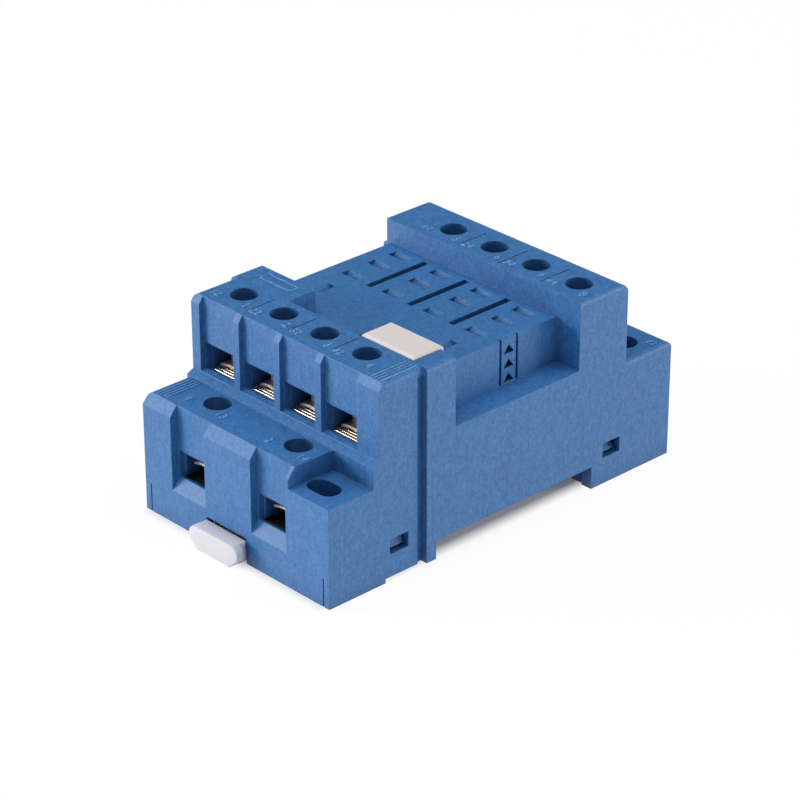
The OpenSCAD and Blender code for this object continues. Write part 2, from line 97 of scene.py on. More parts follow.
def per_metre(size_mm: float) -> float:
    """Gives the scale of a pattern on Object coordinates whose features are size_mm across."""
    return 1.0 / (size_mm * MM)


def add_node(tree: bpy.types.NodeTree, kind: str, links: Optional[Dict[Any, Any]] = None,
             values: Optional[Dict[Any, Any]] = None, **settings: Any) -> bpy.types.Node:
    """Adds a node with its settings, socket values and incoming links.

    Args:
        tree: the node tree that gets the node.
        kind: the node's type name.
        links: input socket name or index to the output socket that feeds it.
        values: input socket name or index to its own value.
        settings: the node's properties.

    Returns:
        The new node.
    """
    node = tree.nodes.new(kind)
    for name, value in settings.items():
        setattr(node, name, value)
    for key, value in (values or {}).items():
        node.inputs[key].default_value = value
    for key, source in (links or {}).items():
        tree.links.new(source, node.inputs[key])
    return node


class Slot(Enum):
    """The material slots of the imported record."""

    HOUSING = "housing_plastic"
    COVER = "cover_plastic"
    CLIP = "clip_plastic"
    TAG = "tag_plastic"
    TERMINAL = "terminal_metal"
    CLAMP = "clamp_metal"
    SCREW = "screw_metal"


class Row(Enum):
    """The four rows of screw terminals, by the word that their nodes' names hold."""

    COIL = "coil"
    FRONT = "front"
    REAR_UPPER = "rear_upper"
    REAR_LOWER = "rear_lower"

    @classmethod
    def of(cls, terminal: str) -> "Row":
        """Finds a terminal's row from its node's name, such as terminal_coil_1."""
        return cls(terminal.removeprefix("terminal_").rsplit("_", 1)[0])

    @property
    def mouth(self) -> int:
        """Gives the way along Y that the row's wires come in from: -1 is the coil end, 1 the far end."""
        return -1 if self in (Row.COIL, Row.FRONT) else 1


def centre(node: str) -> Vec2:
    """Gives the middle of a CAD node's box across and along the socket, in metres."""
    low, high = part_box(node)
    return (low.x + high.x) / 2, (low.y + high.y) / 2


@dataclass(frozen=True)
class Finish:
    """What every finish has: a name and the shader values that are the same all over it."""

    name: str
    roughness: float
    metallic: float = 0.0
    ior: float = 1.5
    gloss_level: float = 0.5
    subsurface: float = 0.0
    edge_mm: float = 0.15
    # tint and amount of the painted highlight along the arrises
    arris_highlight_tint: str = "6E9BD0"
    arris_highlight_amount: float = 0.0
    # the cosine between the rounded and the true normal, where the painted highlight on an arris starts and where it is
    # brightest
    arris_range: Vec2 = (0.98, 0.8)
    # the openness over which the painted arris highlight fades in as it comes out of an inner corner
    outer_range: Vec2 = (0.8, 0.98)

    def start(self) -> Tuple[bpy.types.Material, bpy.types.NodeTree, bpy.types.Node, Socket]:
        """Makes the empty material.

        Returns:
            The material, its tree, its Principled shader and the place on the object that its patterns read.
        """
        material = bpy.data.materials.new(self.name)
        material.use_nodes = True
        tree = material.node_tree
        tree.nodes.clear()
        output = tree.nodes.new("ShaderNodeOutputMaterial")
        shader = tree.nodes.new("ShaderNodeBsdfPrincipled")
        tree.links.new(shader.outputs["BSDF"], output.inputs["Surface"])
        shader.inputs["Roughness"].default_value = self.roughness
        shader.inputs["Metallic"].default_value = self.metallic
        if not self.metallic:
            shader.inputs["IOR"].default_value = self.ior
            shader.inputs["Specular IOR Level"].default_value = self.gloss_level
        shader.inputs["Subsurface Weight"].default_value = self.subsurface
        coords = tree.nodes.new("ShaderNodeTexCoord")
        return material, tree, shader, coords.outputs["Object"]

    def soften(self, tree: bpy.types.NodeTree, colour: Socket,
               openness: Optional[Socket] = None) -> Tuple[Socket, Socket]:
        """Rounds the sharp arrises to the eye and paints a faint highlight along them.

        Args:
            tree: the material's tree.
            colour: the colour before the painted highlight goes on the arrises.
            openness: how open each place is, from 0 to 1, which keeps the light line out of inner corners.

        Returns:
            The rounded normal and the colour with a painted highlight on its arrises.
        """
        arris = add_node(tree, "ShaderNodeBevel", None, {"Radius": self.edge_mm * MM}, samples=SHADER_RAYS)
        face = add_node(tree, "ShaderNodeNewGeometry")
        match = add_node(tree, "ShaderNodeVectorMath",
                         {0: arris.outputs["Normal"], 1: face.outputs["True Normal"]}, operation="DOT_PRODUCT")
        # painted highlight: where the rounded normal turns away from the true one, the colour is mixed towards the
        # paler arris tint
        painted_arris_highlight = add_node(tree, "ShaderNodeMapRange", {"Value": match.outputs["Value"]},
                        {"From Min": self.arris_range[0], "From Max": self.arris_range[1],
                         "To Min": 0.0, "To Max": self.arris_highlight_amount})
        amount = painted_arris_highlight.outputs["Result"]
        if openness is not None:
            outer = add_node(tree, "ShaderNodeMapRange", {"Value": openness, "To Max": amount},
                             {"From Min": self.outer_range[0], "From Max": self.outer_range[1], "To Min": 0.0})
            amount = outer.outputs["Result"]
        mixed = add_node(tree, "ShaderNodeMix", {0: amount, 6: colour},
                         {7: linear(self.arris_highlight_tint)}, data_type="RGBA")
        return arris.outputs["Normal"], mixed.outputs[2]


@dataclass(frozen=True)
class GlassFilledNylon(Finish):
    """Glass filled polyamide from a spark eroded mould.

    The short fibres float to the skin as pale flecks, the flow of the melt leaves faint cloudy streaks
    that run down the walls, and the eroded mould gives a fine matt orange peel.
    """

    # the real flecks and mould pits are about 0.1 mm across, too fine to show, so they are drawn 0.45 to 1 mm across
    ior: float = 1.54
    gloss_level: float = 0.8
    base: str = "0A5F9E"
    bloom: str = "377DBE"
    deep: str = "095896"
    # navy of the painted shade in deep windows, driver holes and inner corners
    painted_shade: str = "103A78"
    grain_mm: float = 0.5
    mottle_mm: float = 1.0
    cloud_mm: float = 7.0
    streak_mm: float = 0.7
    streak_stretch: float = 4.0
    peel_mm: float = 0.45
    peel_height_mm: float = 0.05
    painted_shade_reach_mm: float = 7.0
    mottle_share: float = 0.5
    streak_share: float = 0.4
    fleck_range: Vec2 = (0.78, 1.12)
    bloom_amount: float = 0.75
    deep_amount: float = 0.6
    painted_shade_range: Vec2 = (0.1, 0.56)
    painted_shade_amount: float = 0.9
    rough_swing: float = 0.06

    def build(self) -> bpy.types.Material:
        """Makes the material.

        Returns:
            The blue nylon.
        """
        material, tree, shader, place = self.start()
        grain = add_node(tree, "ShaderNodeTexNoise", {"Vector": place},
                         {"Scale": per_metre(self.grain_mm), "Detail": 4.0, "Roughness": 0.65})
        mottle = add_node(tree, "ShaderNodeTexNoise", {"Vector": place},
                          {"Scale": per_metre(self.mottle_mm), "Detail": 3.0, "Roughness": 0.6, "Distortion": 0.8})
        cloud = add_node(tree, "ShaderNodeTexNoise", {"Vector": place},
                         {"Scale": per_metre(self.cloud_mm), "Detail": 5.0, "Roughness": 0.6, "Distortion": 0.6})
        drawn = add_node(tree, "ShaderNodeMapping", {"Vector": place}, {"Scale": (1.0, 1.0, 1.0 / self.streak_stretch)})
        streak = add_node(tree, "ShaderNodeTexNoise", {"Vector": drawn.outputs["Vector"]},
                          {"Scale": per_metre(self.streak_mm), "Detail": 3.0, "Roughness": 0.6})
        both = add_node(tree, "ShaderNodeMath", {0: mottle.outputs["Fac"], 2: grain.outputs["Fac"]},
                        {1: self.mottle_share}, operation="MULTIPLY_ADD")
        all_three = add_node(tree, "ShaderNodeMath", {0: streak.outputs["Fac"], 2: both.outputs["Value"]},
                             {1: self.streak_share}, operation="MULTIPLY_ADD")
        fleck = add_node(tree, "ShaderNodeMapRange", {"Value": all_three.outputs["Value"]},
                         {"From Min": self.fleck_range[0], "From Max": self.fleck_range[1],
                          "To Min": 0.0, "To Max": self.bloom_amount})
        shade = add_node(tree, "ShaderNodeMapRange", {"Value": cloud.outputs["Fac"]},
                         {"From Min": NOISE_RANGE[0], "From Max": NOISE_RANGE[1],
                          "To Min": 0.0, "To Max": self.deep_amount})
        under = add_node(tree, "ShaderNodeMix", {0: shade.outputs["Result"]},
                         {6: linear(self.base), 7: linear(self.deep)}, data_type="RGBA")
        flecked = add_node(tree, "ShaderNodeMix", {0: fleck.outputs["Result"], 6: under.outputs[2]},
                           {7: linear(self.bloom)}, data_type="RGBA")
        # painted shade: where ambient occlusion finds deep windows, driver holes and inner corners, the blue is mixed
        # towards navy, standing in for the light they swallow
        open_sky = add_node(tree, "ShaderNodeAmbientOcclusion", None, {"Distance": self.painted_shade_reach_mm * MM},
                            samples=SHADER_RAYS)
        inner = add_node(tree, "ShaderNodeMapRange", {"Value": open_sky.outputs["AO"]},
                         {"From Min": self.painted_shade_range[0], "From Max": self.painted_shade_range[1],
                          "To Min": self.painted_shade_amount, "To Max": 0.0})
        skin = add_node(tree, "ShaderNodeMix", {0: inner.outputs["Result"], 6: flecked.outputs[2]},
                        {7: linear(self.painted_shade)}, data_type="RGBA")
        # soften also paints a highlight on the open arrises
        normal, colour = self.soften(tree, skin.outputs[2], open_sky.outputs["AO"])
        tree.links.new(colour, shader.inputs["Base Color"])
        rough = add_node(tree, "ShaderNodeMapRange", {"Value": grain.outputs["Fac"]},
                         {"From Min": NOISE_RANGE[0], "From Max": NOISE_RANGE[1],
                          "To Min": self.roughness - self.rough_swing, "To Max": self.roughness + self.rough_swing})
        tree.links.new(rough.outputs["Result"], shader.inputs["Roughness"])
        peel = add_node(tree, "ShaderNodeTexNoise", {"Vector": place},
                        {"Scale": per_metre(self.peel_mm), "Detail": 3.0, "Roughness": 0.55})
        bump = add_node(tree, "ShaderNodeBump", {"Height": peel.outputs["Fac"], "Normal": normal},
                        {"Strength": 0.5, "Distance": self.peel_height_mm * MM})
        tree.links.new(bump.outputs["Normal"], shader.inputs["Normal"])
        return material


@dataclass(frozen=True)
class MouldedNylon(Finish):
    """Unfilled natural nylon or acetal: waxy, a little translucent, with a soft satin skin."""

    base: str = "DCDCE2"
    warm: str = "D6D4DA"
    cloud_mm: float = 5.0
    ripple_mm: float = 0.9
    ripple_height_mm: float = 0.012
    # how far red, green and blue light wander under the skin
    glow_mm: Vec3 = (1.2, 1.1, 0.9)

    def build(self) -> bpy.types.Material:
        """Makes the material.

        Returns:
            The white plastic.
        """
        material, tree, shader, place = self.start()
        cloud = add_node(tree, "ShaderNodeTexNoise", {"Vector": place},
                         {"Scale": per_metre(self.cloud_mm), "Detail": 4.0})
        tint = add_node(tree, "ShaderNodeMix", {0: cloud.outputs["Fac"]},
                        {6: linear(self.base), 7: linear(self.warm)}, data_type="RGBA")
        # soften paints a highlight along the arrises
        normal, colour = self.soften(tree, tint.outputs[2])
        tree.links.new(colour, shader.inputs["Base Color"])
        shader.inputs["Subsurface Radius"].default_value = tuple(reach * MM for reach in self.glow_mm)
        shader.inputs["Subsurface Scale"].default_value = 1.0
        ripple = add_node(tree, "ShaderNodeTexNoise", {"Vector": place},
                          {"Scale": per_metre(self.ripple_mm), "Detail": 2.0})
        bump = add_node(tree, "ShaderNodeBump", {"Height": ripple.outputs["Fac"], "Normal": normal},
                        {"Strength": 0.3, "Distance": self.ripple_height_mm * MM})
        tree.links.new(bump.outputs["Normal"], shader.inputs["Normal"])
        return material


@dataclass(frozen=True)
class PlatedMetal(Finish):
    """Plated strip, plate or wire: fine drawing lines along one axis and a little uneven tint."""

    # real drawing lines are about 0.02 mm apart, too fine to show even close by, so they are drawn 0.08 mm apart;
    # from further off they only spread the highlights, as on the real metal
    metallic: float = 1.0
    base: str = "E6DCC6"
    tint: str = "C4AC84"
    line_mm: float = 0.08
    # the pattern is squeezed along the axis that the lines follow, which draws them out ten times
    squeeze: Vec3 = (1.0, 0.1, 1.0)
    blot_mm: float = 2.2
    line_height_mm: float = 0.004
    stain_range: Vec2 = (0.42, 0.75)
    stain_amount: float = 0.8
    rough_swing: Vec2 = (-0.07, 0.09)

    def build(self) -> bpy.types.Material:
        """Makes the material.

        Returns:
            The plated metal.
        """
        material, tree, shader, place = self.start()
        drawn = add_node(tree, "ShaderNodeMapping", {"Vector": place}, {"Scale": self.squeeze})
        lines = add_node(tree, "ShaderNodeTexNoise", {"Vector": drawn.outputs["Vector"]},
                         {"Scale": per_metre(self.line_mm), "Detail": 3.0, "Roughness": 0.6})
        blot = add_node(tree, "ShaderNodeTexNoise", {"Vector": place},
                        {"Scale": per_metre(self.blot_mm), "Detail": 3.0})
        stain = add_node(tree, "ShaderNodeMapRange", {"Value": blot.outputs["Fac"]},
                         {"From Min": self.stain_range[0], "From Max": self.stain_range[1],
                          "To Min": 0.0, "To Max": self.stain_amount})
        colour = add_node(tree, "ShaderNodeMix", {0: stain.outputs["Result"]},
                          {6: linear(self.base), 7: linear(self.tint)}, data_type="RGBA")
        # soften paints a highlight along the arrises
        normal, painted_arris_highlight = self.soften(tree, colour.outputs[2])
        tree.links.new(painted_arris_highlight, shader.inputs["Base Color"])
        rough = add_node(tree, "ShaderNodeMapRange", {"Value": lines.outputs["Fac"]},
                         {"From Min": NOISE_RANGE[0], "From Max": NOISE_RANGE[1],
                          "To Min": self.roughness + self.rough_swing[0],
                          "To Max": self.roughness + self.rough_swing[1]})
        tree.links.new(rough.outputs["Result"], shader.inputs["Roughness"])
        bump = add_node(tree, "ShaderNodeBump", {"Height": lines.outputs["Fac"], "Normal": normal},
                        {"Strength": 0.4, "Distance": self.line_height_mm * MM})
        tree.links.new(bump.outputs["Normal"], shader.inputs["Normal"])
        return material


# in every finish below, the arris tint and amount set a painted highlight along the arrises
# glass filled nylon dyed blue, from a spark eroded mould: matt and mottled, with a faint painted highlight on its
# arrises
HOUSING_NYLON = GlassFilledNylon("glass_filled_nylon_blue", roughness=0.55, arris_highlight_amount=0.3)
# the same nylon from the cover's own mould: a shade deeper and a little duller, with fewer flecks
COVER_NYLON = GlassFilledNylon("glass_filled_nylon_cover", roughness=0.58, base="0A5A9A", bloom_amount=0.7,
                               arris_highlight_amount=0.2)
# the housing's nylon on its raised marks, painted paler as a painted highlight for the light the raised figures catch,
# and a little smoother, so fine figures read
PAINTED_HIGHLIGHT_MARK_NYLON = GlassFilledNylon("glass_filled_nylon_painted_highlight", roughness=0.5, base="4A8FCA", bloom="84B6E2",
                              deep="3A80BE", arris_highlight_amount=0.4, arris_highlight_tint="A9CBEA", edge_mm=0.05)
# unfilled natural nylon, moulded: milky and faintly see-through, with arrises that look soft
CLIP_NYLON = MouldedNylon("natural_nylon", roughness=0.45, ior=1.53, subsurface=0.2, edge_mm=0.4)
# white acetal, moulded flat for writing on: satin and near opaque, with a painted highlight round its rim
TAG_PLASTIC = MouldedNylon("tag_acetal", roughness=0.4, ior=1.48, base="E4DCDD", warm="DFD7D8", subsurface=0.05,
                           edge_mm=0.14, arris_highlight_tint="FAF8F8", arris_highlight_amount=0.9)
# nickel plated brass strip, rolled and then bent: bright, a little yellow, with faint lines along the wire's way in
TERMINAL_METAL = PlatedMetal("nickel_plated_brass", roughness=0.22, edge_mm=0.06, arris_highlight_tint="EFE6CF", arris_highlight_amount=0.5)
# brass strip of the two coil brackets, drawn near black, with a dull painted highlight on its arrises
COIL_METAL = PlatedMetal("near_black_coil_brass", roughness=0.34, base="24231E", tint="161511", edge_mm=0.06,
                         arris_highlight_tint="4A473A", arris_highlight_amount=0.4)
# nickel plated steel plate, pressed and barrel plated: paler and more satin than the brackets
CLAMP_METAL = PlatedMetal("nickel_plated_clamp", roughness=0.4, base="F6ECE4", tint="D9C4AC", edge_mm=0.08,
                          arris_highlight_tint="F2EADA", arris_highlight_amount=0.6)
# zinc plated steel, headed from drawn wire and thread rolled: cool grey, with faint lines down the sides
SCREW_METAL = PlatedMetal("zinc_plated_steel", roughness=0.28, base="C6C7C6", tint="B2B1A6", squeeze=(1.0, 1.0, 0.1),
                          edge_mm=0.06, arris_highlight_tint="E6E6E2", arris_highlight_amount=0.4)


class Dresser:
    """Puts finishes on the CAD nodes that stay in view."""

    def __init__(self) -> None:
        """Makes every finish once."""
        self.materials: Dict[Slot, bpy.types.Material] = {
            Slot.HOUSING: HOUSING_NYLON.build(),
            Slot.COVER: COVER_NYLON.build(),
            Slot.CLIP: CLIP_NYLON.build(),
            Slot.TAG: TAG_PLASTIC.build(),
            Slot.TERMINAL: TERMINAL_METAL.build(),
            Slot.CLAMP: CLAMP_METAL.build(),
            Slot.SCREW: SCREW_METAL.build(),
        }
        self.coil_metal = COIL_METAL.build()

    def bracket(self, node: str) -> bpy.types.Material:
        """Gives one terminal bracket's metal: near black on the two coil brackets, bright on the others."""
        return self.coil_metal if Row.of(node) is Row.COIL else self.materials[Slot.TERMINAL]

    def dress_nodes(self) -> None:
        """Gives each CAD node the finish of its record slot."""
        for part in frame["record"]["subparts"]:
            slot = Slot(part["material_slot"])
            node = frame["nodes"][part["node"]]
            node.data.materials.clear()
            node.data.materials.append(self.bracket(part["node"]) if slot is Slot.TERMINAL else self.materials[slot])
            LOG.info("dressed %s", part["node"])


def linked(name: str, data: bpy.types.ID) -> bpy.types.Object:
    """Makes an object of some data and puts it in the scene.

    Args:
        name: the object's name.
        data: its mesh, curve, lamp or camera.

    Returns:
        The new object.
    """
    made = bpy.data.objects.new(name, data)
    bpy.context.scene.collection.objects.link(made)
    return made


def settled(holder: bpy.types.Object, name: str) -> bpy.types.Mesh:
    """Turns an object's final shape into a plain mesh, and removes the object with its modifiers.

    Args:
        holder: the object that carries the modifiers, or the text.
        name: the name of the mesh.

    Returns:
        The plain mesh.
    """
    graph = bpy.context.evaluated_depsgraph_get()
    mesh = bpy.data.meshes.new_from_object(holder.evaluated_get(graph), depsgraph=graph)
    mesh.name = name
    holder.modifiers.clear()
    bpy.data.objects.remove(holder)
    return mesh


def finished(mesh: bpy.types.Mesh, name: str, body: str, angle: float = 35.0) -> bpy.types.Object:
    """Makes an object of a mesh that already lies in its place, and lets it ride on its body.

    Args:
        mesh: the mesh, in the socket's frame.
        name: the piece's name.
        body: the CAD body it moves with.
        angle: edges flatter than this many degrees are shaded smooth.

    Returns:
        The new piece.
    """
    mesh.shade_smooth()
    mesh.set_sharp_from_angle(angle=math.radians(angle))
    piece = linked(name, mesh)
    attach(piece, body)
    LOG.info("made %s: %d faces", name, len(mesh.polygons))
    return piece


# what a tree that lays a row of equal bars takes besides the size of a bar
ROW_INPUTS = (("Count", "NodeSocketInt"), ("Gap", "NodeSocketVector"), ("Place", "NodeSocketVector"),
              ("Finish", "NodeSocketMaterial"))


class NodePart:
    """A piece that a Geometry Nodes tree makes, with named inputs for its sizes."""

    def __init__(self, name: str, inputs: Sequence[Tuple[str, str]]) -> None:
        """Starts an empty tree.

        Args:
            name: the tree's name.
            inputs: each input's name and its socket type.
        """
        self.tree = bpy.data.node_groups.new(name, "GeometryNodeTree")
        self.identifiers: Dict[str, str] = {}
        for label, kind in inputs:
            made = self.tree.interface.new_socket(name=label, in_out="INPUT", socket_type=kind)
            self.identifiers[label] = made.identifier
        self.tree.interface.new_socket(name="Geometry", in_out="OUTPUT", socket_type="NodeSocketGeometry")
        self.given = self.tree.nodes.new("NodeGroupInput")

    def end(self, geometry: Socket) -> None:
        """Closes the tree with Realize Instances and Set Material.

        Args:
            geometry: the finished geometry.
        """
        real = add_node(self.tree, "GeometryNodeRealizeInstances", {"Geometry": geometry})
        dressed = add_node(self.tree, "GeometryNodeSetMaterial",
                           {"Geometry": real.outputs["Geometry"], "Material": self.given.outputs["Finish"]})
        output = self.tree.nodes.new("NodeGroupOutput")
        self.tree.links.new(dressed.outputs["Geometry"], output.inputs["Geometry"])

    def end_in_row(self, shape: Socket) -> None:
        """Lays copies of a shape side by side, moves the row to its place and closes the tree.

        Args:
            shape: the geometry of one copy.
        """
        given = self.given.outputs
        points = add_node(self.tree, "GeometryNodeMeshLine", {"Count": given["Count"], "Offset": given["Gap"]})
        copies = add_node(self.tree, "GeometryNodeInstanceOnPoints",
                          {"Points": points.outputs["Mesh"], "Instance": shape})
        placed = add_node(self.tree, "GeometryNodeTransform",
                          {"Geometry": copies.outputs["Instances"], "Translation": given["Place"]})
        self.end(placed.outputs["Geometry"])

    def mesh(self, name: str, values: Dict[str, Any]) -> bpy.types.Mesh:
        """Runs the tree once.

        Args:
            name: the name of the mesh.
            values: each input's name and its value.

        Returns:
            The plain mesh that the tree makes.
        """
        holder = linked(name + "_nodes", bpy.data.meshes.new(name + "_empty"))
        modifier = holder.modifiers.new(name, "NODES")
        modifier.node_group = self.tree
        for label, value in values.items():
            modifier[self.identifiers[label]] = value
        return settled(holder, name)


@dataclass
class ClampScrews:
    """The fourteen clamp screws: pan head with a slot and cross recess, rolled thread and tip pin."""

    head_d_mm: float = 4.3
    head_h_mm: float = 1.6
    edge_r_mm: float = 0.35
    shank_d_mm: float = 2.96
    thread_pitch_mm: float = 0.5
    thread_depth_mm: float = 0.22
    pin_d_mm: float = 2.2
    pin_l_mm: float = 1.6
    slot_w_mm: float = 0.75
    slot_depth_mm: float = 1.15
    slot_share: float = 1.4
    cross_share: float = 0.62
    turns_deg: Tuple[float, ...] = (12.0, 71.0, 148.0, 33.0, 97.0, 160.0, 54.0, 118.0, 5.0, 83.0, 139.0, 26.0, 104.0,
                                    62.0)
    sides: int = 28
    dome_steps: int = 8
    thread_steps: int = 24
    thread_sides: int = 4

    def tree(self) -> NodePart:
        """Builds the screw's node tree, standing on its pin's tip at the origin.

        Returns:
            The tree with an input for each size.
        """
        part = NodePart("clamp_screw_tree", [
            ("Head Diameter", "NodeSocketFloat"), ("Head Height", "NodeSocketFloat"), ("Edge Share", "NodeSocketFloat"),
            ("Core Diameter", "NodeSocketFloat"), ("Shank Length", "NodeSocketFloat"),
            ("Thread Turns", "NodeSocketFloat"), ("Thread Width", "NodeSocketFloat"),
            ("Pin Diameter", "NodeSocketFloat"), ("Pin Length", "NodeSocketFloat"),
            ("Slot Size", "NodeSocketVector"), ("Cross Size", "NodeSocketVector"),
            ("Place", "NodeSocketVector"), ("Turn", "NodeSocketFloat"), ("Finish", "NodeSocketMaterial")])
        tree, given = part.tree, part.given.outputs

        def half(source: Socket) -> Socket:
            """Halves a length."""
            return add_node(tree, "ShaderNodeMath", {0: source}, {1: 0.5}, operation="MULTIPLY").outputs[0]

        def plus(first: Socket, second: Socket) -> Socket:
            """Adds two lengths."""
            return add_node(tree, "ShaderNodeMath", {0: first, 1: second}, operation="ADD").outputs[0]

        def lifted(shape: Socket, height: Socket) -> Socket:
            """Lifts a shape to a height."""
            move = add_node(tree, "ShaderNodeCombineXYZ", {"Z": height})
            return add_node(tree, "GeometryNodeTransform",
                            {"Geometry": shape, "Translation": move.outputs["Vector"]}).outputs["Geometry"]

        pin = add_node(tree, "GeometryNodeMeshCylinder",
                       {"Radius": half(given["Pin Diameter"]), "Depth": given["Pin Length"]}, {"Vertices": self.sides})
        core = add_node(tree, "GeometryNodeMeshCylinder",
                        {"Radius": half(given["Core Diameter"]), "Depth": given["Shank Length"]},
                        {"Vertices": self.sides})
        helix = add_node(tree, "GeometryNodeCurveSpiral",
                         {"Rotations": given["Thread Turns"], "Start Radius": half(given["Core Diameter"]),
                          "End Radius": half(given["Core Diameter"]), "Height": given["Shank Length"]},
                         {"Resolution": self.thread_steps})
        upright = add_node(tree, "GeometryNodeSetCurveNormal", {"Curve": helix.outputs["Curve"]}, mode="Z_UP")
        ridge = add_node(tree, "GeometryNodeCurvePrimitiveCircle",
                         {"Radius": half(given["Thread Width"])}, {"Resolution": self.thread_sides})
        thread = add_node(tree, "GeometryNodeCurveToMesh",
                          {"Curve": upright.outputs["Curve"], "Profile Curve": ridge.outputs["Curve"]},
                          {"Fill Caps": True})
        blank = add_node(tree, "GeometryNodeMeshCylinder",
                         {"Radius": half(given["Head Diameter"]), "Depth": given["Head Height"]},
                         {"Vertices": self.sides * 2, "Side Segments": self.dome_steps})
        where = tree.nodes.new("GeometryNodeInputPosition")
        split = add_node(tree, "ShaderNodeSeparateXYZ", {"Vector": where.outputs["Position"]})
        shrink = add_node(tree, "ShaderNodeMapRange",
                          {"Value": split.outputs["Z"], "From Max": half(given["Head Height"]),
                           "To Max": given["Edge Share"]},
                          {"From Min": 0.0, "To Min": 1.0}, interpolation_type="SMOOTHSTEP")
        radial = add_node(tree, "ShaderNodeCombineXYZ", {"X": shrink.outputs["Result"], "Y": shrink.outputs["Result"]},
                          {"Z": 1.0})
        eased = add_node(tree, "ShaderNodeVectorMath", {0: where.outputs["Position"], 1: radial.outputs["Vector"]},
                         operation="MULTIPLY")
        domed = add_node(tree, "GeometryNodeSetPosition",
                         {"Geometry": blank.outputs["Mesh"], "Position": eased.outputs["Vector"]})
        slot = add_node(tree, "GeometryNodeMeshCube", {"Size": given["Slot Size"]})
        cross = add_node(tree, "GeometryNodeMeshCube", {"Size": given["Cross Size"]})
        head = domed
        for cutter in (slot, cross):
            raised = lifted(cutter.outputs["Mesh"], half(given["Head Height"]))
            head = add_node(tree, "GeometryNodeMeshBoolean", {"Mesh 1": head.outputs[0], "Mesh 2": raised},
                            operation="DIFFERENCE", solver="EXACT")
        neck = plus(given["Pin Length"], half(given["Shank Length"]))
        top = plus(plus(given["Pin Length"], given["Shank Length"]), half(given["Head Height"]))
        whole = tree.nodes.new("GeometryNodeJoinGeometry")
        for shape in (lifted(pin.outputs["Mesh"], half(given["Pin Length"])), lifted(core.outputs["Mesh"], neck),
                      lifted(thread.outputs["Mesh"], given["Pin Length"]), lifted(head.outputs["Mesh"], top)):
            tree.links.new(shape, whole.inputs["Geometry"])
        spin = add_node(tree, "ShaderNodeCombineXYZ", {"Z": given["Turn"]})
        placed = add_node(tree, "GeometryNodeTransform",
                          {"Geometry": whole.outputs["Geometry"], "Translation": given["Place"],
                           "Rotation": spin.outputs["Vector"]})
        part.end(placed.outputs["Geometry"])
        return part

    def build(self, finish: bpy.types.Material) -> None:
        """Makes each screw, in place of its plain CAD node.

        Args:
            finish: the screws' metal.
        """
        part = self.tree()
        names = sorted(n for n in frame["nodes"] if n.startswith("clamp_screw_"))
        for name, turn in zip(names, self.turns_deg):
            low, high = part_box(name)
            shank = (high.z - low.z) - (self.pin_l_mm + self.head_h_mm) * MM
            mesh = part.mesh("fine_" + name, {
                "Head Diameter": self.head_d_mm * MM, "Head Height": self.head_h_mm * MM,
                "Edge Share": 1.0 - 2.0 * self.edge_r_mm / self.head_d_mm,
                "Core Diameter": (self.shank_d_mm - 2 * self.thread_depth_mm) * MM, "Shank Length": shank,
                "Thread Turns": shank / (self.thread_pitch_mm * MM),
                "Thread Width": 2 * self.thread_depth_mm * MM,
                "Pin Diameter": self.pin_d_mm * MM, "Pin Length": self.pin_l_mm * MM,
                "Slot Size": (self.head_d_mm * self.slot_share * MM, self.slot_w_mm * MM, 2 * self.slot_depth_mm * MM),
                "Cross Size": (self.slot_w_mm * MM, self.head_d_mm * self.cross_share * MM,
                               2 * self.slot_depth_mm * MM),
                "Place": (*centre(name), low.z),
                "Turn": math.radians(turn), "Finish": finish})
            piece = finished(mesh, "fine_" + name, name.replace("clamp_screw_", "screw_"))
            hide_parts(name)


@dataclass
class ClampRidges:
    """The rounded crests of the ridges across each terminal bracket's floor, which bite the wire."""

    pitch_mm: float = 0.7
    radius_mm: float = 0.22
    coil_radius_mm: float = 0.12
    sink_mm: float = 0.1
    width_mm: float = 6.7
    count: int = 8
    first_mm: float = 4.25
    floor_mm: float = 1.1
    sides: int = 12

    def tree(self) -> NodePart:
        """Builds the tree that lays round bars across a floor.

        Returns:
            The tree with an input for each size.
        """
        part = NodePart("clamp_ridge_tree", [("Radius", "NodeSocketFloat"), ("Width", "NodeSocketFloat"), *ROW_INPUTS])
        tree, given = part.tree, part.given.outputs
        bar = add_node(tree, "GeometryNodeMeshCylinder", {"Radius": given["Radius"], "Depth": given["Width"]},
                       {"Vertices": self.sides})
        laid = add_node(tree, "GeometryNodeTransform", {"Geometry": bar.outputs["Mesh"]},
                        {"Rotation": (0.0, math.radians(90.0), 0.0)})
        part.end_in_row(laid.outputs["Geometry"])
        return part

    def build(self, dresser: Dresser) -> None:
        """Makes one set of crests for each terminal.

        Args:
            dresser: gives each bracket's metal.
        """
        part = self.tree()
        for name in sorted(n for n in frame["nodes"] if n.startswith("terminal_")):
            row = Row.of(name)
            x, y = centre(name.replace("terminal_", "clamp_screw_"))
            mesh = part.mesh("ridges_" + name, {
                "Count": self.count, "Gap": (0.0, -row.mouth * self.pitch_mm * MM, 0.0),
                "Radius": (self.coil_radius_mm if row is Row.COIL else self.radius_mm) * MM,
                "Width": self.width_mm * MM,
                "Place": (x, y + row.mouth * self.first_mm * MM,
                          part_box(name)[0].z + (self.floor_mm - self.sink_mm) * MM),
                "Finish": dresser.bracket(name)})
            finished(mesh, "ridges_" + name, "socket")


